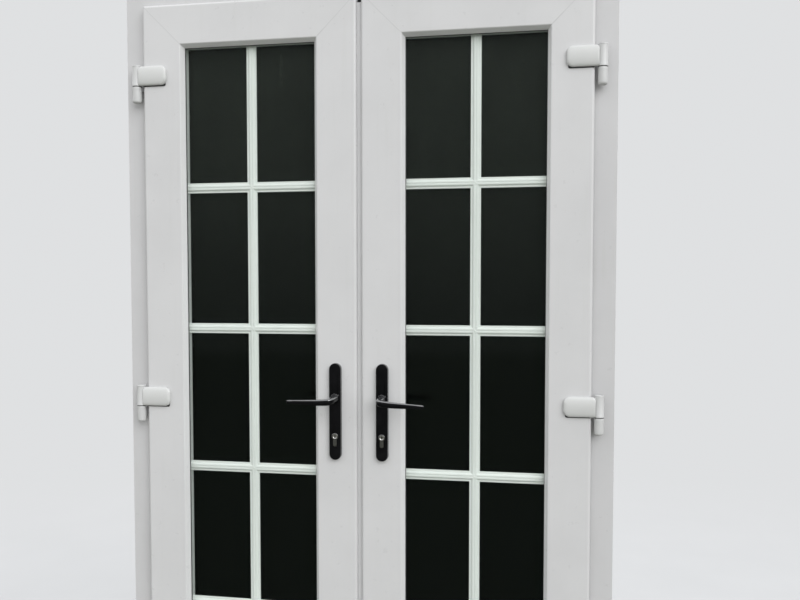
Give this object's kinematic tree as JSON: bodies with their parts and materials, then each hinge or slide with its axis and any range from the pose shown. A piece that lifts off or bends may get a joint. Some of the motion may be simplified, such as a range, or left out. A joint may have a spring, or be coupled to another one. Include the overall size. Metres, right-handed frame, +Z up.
{
  "type": "french doors",
  "caption": "Pair of glazed doors that open outwards in a frame, with divided panes, flag hinges, lever handles and multi-point locking gear.",
  "frame": {"origin": "middle of the sill's underside, at half the frame's depth", "axes": "+X to the right seen from outside, outside towards -Y, +Z up"},
  "size_m": [1.2, 0.194, 2.05],
  "materials": {
    "white_upvc": "semi-gloss white extruded upvc",
    "cover_white": "gloss white moulding",
    "hinge_white": "white powder coat",
    "black_rubber": "matt black",
    "clear_glass": "clear float glass",
    "inner_glass": "float glass with a dark reflection",
    "spacer_metal": "mill finish",
    "bar_white": "satin white paint",
    "handle_black": "gloss black coat",
    "screw_black": "black oxide",
    "cylinder_chrome": "satin nickel",
    "gear_steel": "zinc plated",
    "galvanised_steel": "galvanised",
    "packer_plastic": "plain moulding",
    "washer_nylon": "self-lubricating nylon"
  },
  "bodies": {
    "frame": {"frame_left_jamb": "white_upvc", "frame_right_jamb": "white_upvc", "frame_sill": "white_upvc", "frame_head": "white_upvc", "frame_seals": "black_rubber", "hinge_brackets": "hinge_white", "hinge_pins": "gear_steel", "hinge_washers": "washer_nylon", "rod_keeps": "gear_steel"},
    "left_leaf": {"left_hinge_stile": "white_upvc", "left_lock_stile": "white_upvc", "left_bottom_rail": "white_upvc", "left_top_rail": "white_upvc", "left_steel": "galvanised_steel", "left_glazing_beads": "white_upvc", "left_outer_pane": "clear_glass", "left_inner_pane": "inner_glass", "left_spacer": "spacer_metal", "left_glazing_bars": "bar_white", "left_glazing_gaskets": "black_rubber", "left_glass_packers": "packer_plastic", "left_hinge_flags": "hinge_white", "left_hinge_covers": "cover_white", "left_outer_backplate": "handle_black", "left_inner_backplate": "handle_black", "left_handle_screws": "screw_black", "left_cylinder": "cylinder_chrome", "left_lock_strip": "gear_steel", "left_mullion": "white_upvc", "left_mullion_keeps": "gear_steel"},
    "left_lever": {"left_outer_lever": "handle_black", "left_inner_lever": "handle_black", "left_spindle": "gear_steel"},
    "right_leaf": {"right_hinge_stile": "white_upvc", "right_lock_stile": "white_upvc", "right_bottom_rail": "white_upvc", "right_top_rail": "white_upvc", "right_steel": "galvanised_steel", "right_glazing_beads": "white_upvc", "right_outer_pane": "clear_glass", "right_inner_pane": "inner_glass", "right_spacer": "spacer_metal", "right_glazing_bars": "bar_white", "right_glazing_gaskets": "black_rubber", "right_glass_packers": "packer_plastic", "right_hinge_flags": "hinge_white", "right_hinge_covers": "cover_white", "right_outer_backplate": "handle_black", "right_inner_backplate": "handle_black", "right_handle_screws": "screw_black", "right_cylinder": "cylinder_chrome", "right_lock_strip": "gear_steel", "right_adaptor": "white_upvc"},
    "right_lever": {"right_outer_lever": "handle_black", "right_inner_lever": "handle_black", "right_spindle": "gear_steel"},
    "left_top_bolt": {"left_top_bolt": "gear_steel"},
    "left_bottom_bolt": {"left_bottom_bolt": "gear_steel"},
    "right_latch": {"right_latch": "gear_steel"},
    "right_bolts": {"right_bolts": "gear_steel"}
  },
  "joints": [
    {"name": "left_leaf_hinge", "type": "hinge", "parent": "frame", "child": "left_leaf", "pos_m": [-0.5645, -0.056, 1.025], "axis": [0, 0, -1], "range_deg": [0, 105]},
    {"name": "right_leaf_hinge", "type": "hinge", "parent": "frame", "child": "right_leaf", "pos_m": [0.5645, -0.056, 1.025], "axis": [0, 0, 1], "range_deg": [0, 105]},
    {"name": "left_lever_turn", "type": "hinge", "parent": "left_leaf", "child": "left_lever", "pos_m": [-0.0576, -0.059, 1.035], "axis": [0, -1, 0], "range_deg": [-40, 40], "stiffness_Nm_per_rad": 8},
    {"name": "right_lever_turn", "type": "hinge", "parent": "right_leaf", "child": "right_lever", "pos_m": [0.0576, -0.059, 1.035], "axis": [0, 1, 0], "range_deg": [-40, 40], "stiffness_Nm_per_rad": 8},
    {"name": "right_latch_throw", "type": "slide", "parent": "right_leaf", "child": "right_latch", "axis": [-1, 0, 0], "range_m": [0, 0.016]},
    {"name": "right_bolts_throw", "type": "slide", "parent": "right_leaf", "child": "right_bolts", "axis": [-1, 0, 0], "range_m": [0, 0.024]},
    {"name": "left_top_bolt_throw", "type": "slide", "parent": "left_leaf", "child": "left_top_bolt", "axis": [0, 0, 1], "range_m": [0, 0.022]},
    {"name": "left_bottom_bolt_throw", "type": "slide", "parent": "left_leaf", "child": "left_bottom_bolt", "axis": [0, 0, -1], "range_m": [0, 0.022]}
  ],
  "couplings": [
    {"joint": "left_bottom_bolt_throw", "follows": "left_top_bolt_throw", "ratio": 1}
  ]
}
